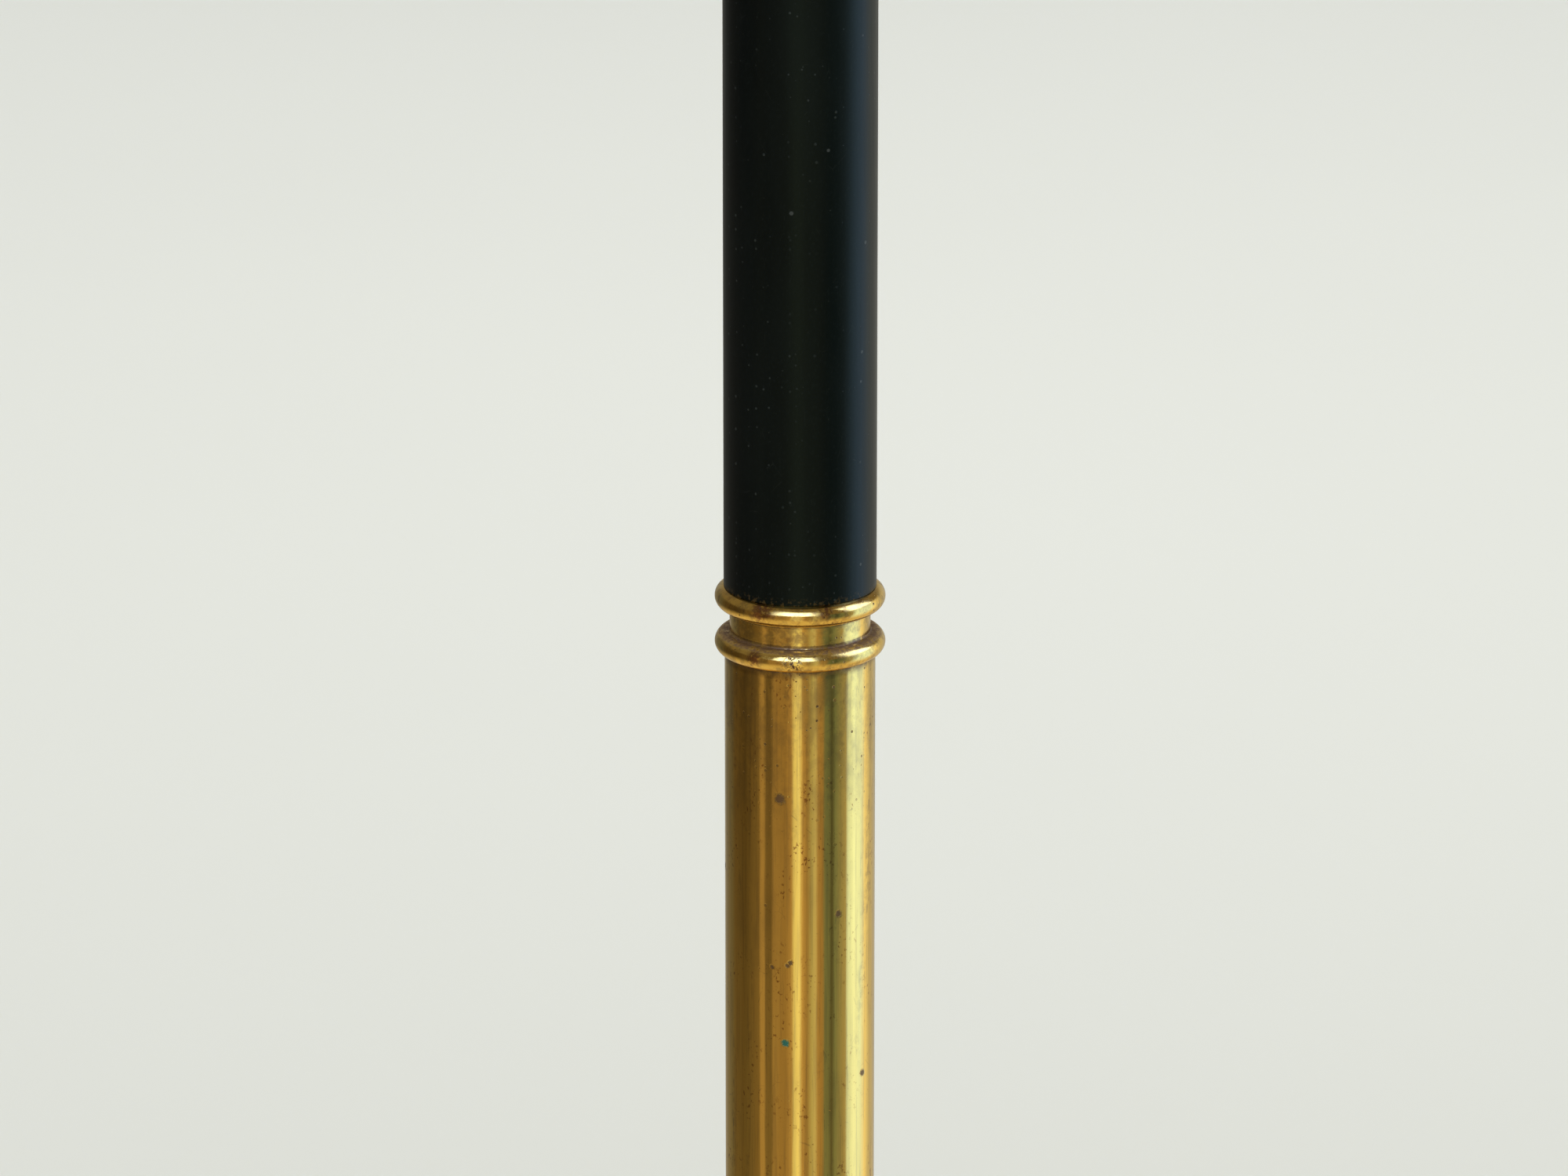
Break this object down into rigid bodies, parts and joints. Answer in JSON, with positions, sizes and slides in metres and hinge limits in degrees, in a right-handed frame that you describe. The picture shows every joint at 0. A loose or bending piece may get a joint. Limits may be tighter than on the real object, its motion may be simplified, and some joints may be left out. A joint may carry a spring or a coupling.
{
  "type": "hand telescope",
  "caption": "Slender draw telescope with a brass front barrel, a black rear barrel, a double-beaded brass joint collar, sliding draws, a sunshade and a dust cap.",
  "frame": {"origin": "centre of the objective cap's outer face, which the closed telescope stands on", "axes": "+Z along the optical axis, from the objective to the eyepiece; +X from the eye hole towards the shutter's screw"},
  "size_m": [0.0522, 0.0522, 0.4611],
  "materials": {
    "drawn_brass": "polished drawn tube with aged lacquer, lengthwise streaks and small pits",
    "turned_brass": "polished turned brass, tarnished in its grooves",
    "black_lacquer": "satin black lacquer",
    "blackened_brass": "matt optical black",
    "lens_glass": "polished optical glass",
    "red_felt": "pressed felt"
  },
  "bodies": {
    "cap": {"objective_cap": "turned_brass", "cap_lining": "red_felt"},
    "sunshade": {"sunshade_tube": "drawn_brass", "sunshade_front_ring": "turned_brass", "sunshade_guide": "turned_brass"},
    "barrel": {"sunshade_stop_ring": "turned_brass", "objective_cell": "turned_brass", "crown_lens": "lens_glass", "flint_lens": "lens_glass", "objective_ring": "blackened_brass", "front_barrel": "drawn_brass", "front_baffle": "blackened_brass", "joint_collar": "turned_brass", "rear_barrel": "black_lacquer", "end_collar": "turned_brass", "end_collar_screws": "turned_brass", "barrel_spring_bush": "turned_brass"},
    "draw_1": {"draw_1_tube": "drawn_brass", "draw_1_stop_ring": "turned_brass", "draw_1_collar": "turned_brass", "draw_1_spring_bush": "turned_brass"},
    "draw_2": {"draw_2_tube": "drawn_brass", "draw_2_stop_ring": "turned_brass", "draw_2_collar": "turned_brass", "erector_tube": "blackened_brass", "erector_front_cell": "turned_brass", "erector_front_lens": "lens_glass", "erector_front_ring": "turned_brass", "erector_stop": "blackened_brass", "erector_rear_cell": "turned_brass", "erector_rear_lens": "lens_glass", "erector_rear_ring": "turned_brass", "eyepiece_tube": "turned_brass", "field_lens": "lens_glass", "field_lens_ring": "blackened_brass", "field_stop": "blackened_brass", "eye_lens_cell": "blackened_brass", "eye_lens": "lens_glass", "eye_lens_ring": "blackened_brass", "eye_cap": "turned_brass", "eye_cup": "black_lacquer", "shutter_screw": "turned_brass"},
    "shutter": {"shutter_leaf": "turned_brass", "shutter_knob": "turned_brass"}
  },
  "joints": [
    {"name": "cap_pull", "type": "slide", "parent": "cap", "child": "sunshade", "axis": [0, 0, 1], "range_m": [0, 0.03]},
    {"name": "sunshade_slide", "type": "slide", "parent": "sunshade", "child": "barrel", "axis": [0, 0, 1], "range_m": [0, 0.032]},
    {"name": "draw_1_slide", "type": "slide", "parent": "barrel", "child": "draw_1", "axis": [0, 0, 1], "range_m": [0, 0.134]},
    {"name": "draw_2_slide", "type": "slide", "parent": "draw_1", "child": "draw_2", "axis": [0, 0, 1], "range_m": [0, 0.129]},
    {"name": "shutter_swing", "type": "hinge", "parent": "draw_2", "child": "shutter", "pos_m": [0.009, 0, 0.4554], "axis": [0, 0, -1], "range_deg": [0, 56]}
  ]
}
